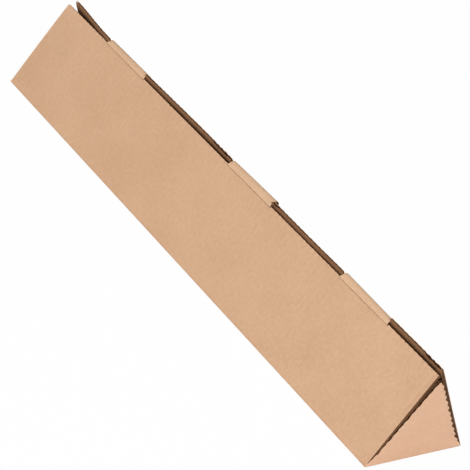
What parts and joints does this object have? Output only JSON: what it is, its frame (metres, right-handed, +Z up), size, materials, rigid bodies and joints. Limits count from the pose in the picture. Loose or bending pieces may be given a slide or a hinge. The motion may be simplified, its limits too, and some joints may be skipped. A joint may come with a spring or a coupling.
{
  "type": "triangular mailing tube",
  "caption": "Triangular mailing tube of corrugated kraft board, with tabs tucked over its ridge and a triangular flap across each end.",
  "frame": {"origin": "middle of the tube's length and width, on the plane that the base panel rests on", "axes": "+Y along the tube away from the end the picture shows nearest, +Z up from the base panel to the ridge, +X towards the panel that the tabs tuck over"},
  "size_m": [0.1006, 0.616, 0.0883],
  "materials": {
    "kraft_panels": "matt natural kraft liner",
    "kraft_tabs": "matt natural kraft liner",
    "kraft_end_flaps": "matt natural kraft liner"
  },
  "bodies": {
    "folded_panels": {"folded_panels": "kraft_panels"},
    "tuck_tab_near": {"tuck_tab_near": "kraft_tabs"},
    "tuck_tab_middle": {"tuck_tab_middle": "kraft_tabs"},
    "tuck_tab_far": {"tuck_tab_far": "kraft_tabs"},
    "end_flap_near": {"end_flap_near": "kraft_end_flaps"},
    "end_flap_far": {"end_flap_far": "kraft_end_flaps"}
  },
  "joints": [
    {"name": "tab_near_crease", "type": "hinge", "parent": "folded_panels", "child": "tuck_tab_near", "pos_m": [-0.0035, -0.1995, 0.08227], "axis": [0, -1, 0], "range_deg": [0, 120]},
    {"name": "tab_middle_crease", "type": "hinge", "parent": "folded_panels", "child": "tuck_tab_middle", "pos_m": [-0.0035, -0.0225, 0.08227], "axis": [0, -1, 0], "range_deg": [0, 120]},
    {"name": "tab_far_crease", "type": "hinge", "parent": "folded_panels", "child": "tuck_tab_far", "pos_m": [-0.0035, 0.1955, 0.08227], "axis": [0, -1, 0], "range_deg": [0, 120]},
    {"name": "end_flap_near_fold", "type": "hinge", "parent": "folded_panels", "child": "end_flap_near", "pos_m": [0, -0.3053, 0], "axis": [1, 0, 0], "range_deg": [0, 90]},
    {"name": "end_flap_far_fold", "type": "hinge", "parent": "folded_panels", "child": "end_flap_far", "pos_m": [0, 0.3053, 0], "axis": [-1, 0, 0], "range_deg": [0, 90]}
  ]
}
